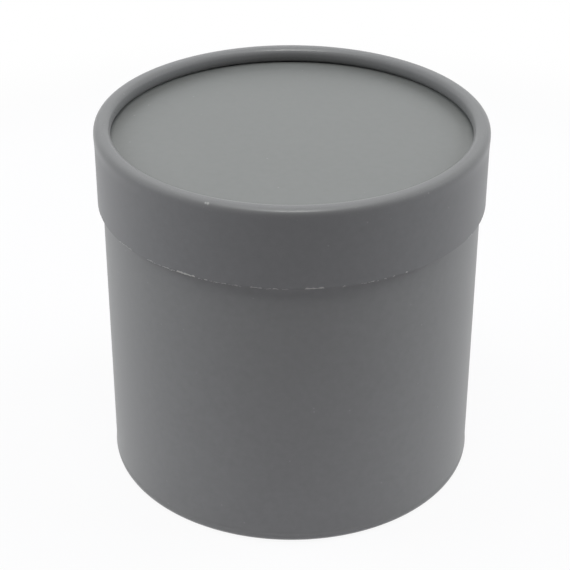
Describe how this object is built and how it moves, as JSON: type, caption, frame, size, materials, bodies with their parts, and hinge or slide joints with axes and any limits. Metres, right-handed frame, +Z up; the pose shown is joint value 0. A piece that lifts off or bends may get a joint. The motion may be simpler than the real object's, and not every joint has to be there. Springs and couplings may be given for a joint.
{
  "type": "round paperboard box",
  "caption": "Round grey paperboard box with rolled rims, recessed discs and a slip-on lid that lifts off, standing on a flat rim and holding gifts, hats or flowers.",
  "frame": {"origin": "on the floor, at the centre of the base rim the box stands on", "axes": "+Z up along the box's axis, towards the lid; the box is round, so X and Y are free, with -Y facing the viewer"},
  "size_m": [0.15, 0.15, 0.145],
  "materials": {
    "board": "raw, matte",
    "cover_paper": "matte, fine grain",
    "lining_paper": "matte"
  },
  "bodies": {
    "base": {"body_wall_board": "board", "body_wall_cover": "cover_paper", "body_wall_lining": "lining_paper", "base_disc_board": "board", "base_disc_cover": "cover_paper", "base_disc_lining": "lining_paper"},
    "lid": {"lid_wall_board": "board", "lid_wall_cover": "cover_paper", "lid_wall_lining": "lining_paper", "lid_disc_board": "board", "lid_disc_cover": "cover_paper", "lid_disc_lining": "lining_paper"}
  },
  "joints": [
    {"name": "lid_lift", "type": "slide", "parent": "base", "child": "lid", "axis": [0, 0, 1], "range_m": [0, 0.16]}
  ]
}
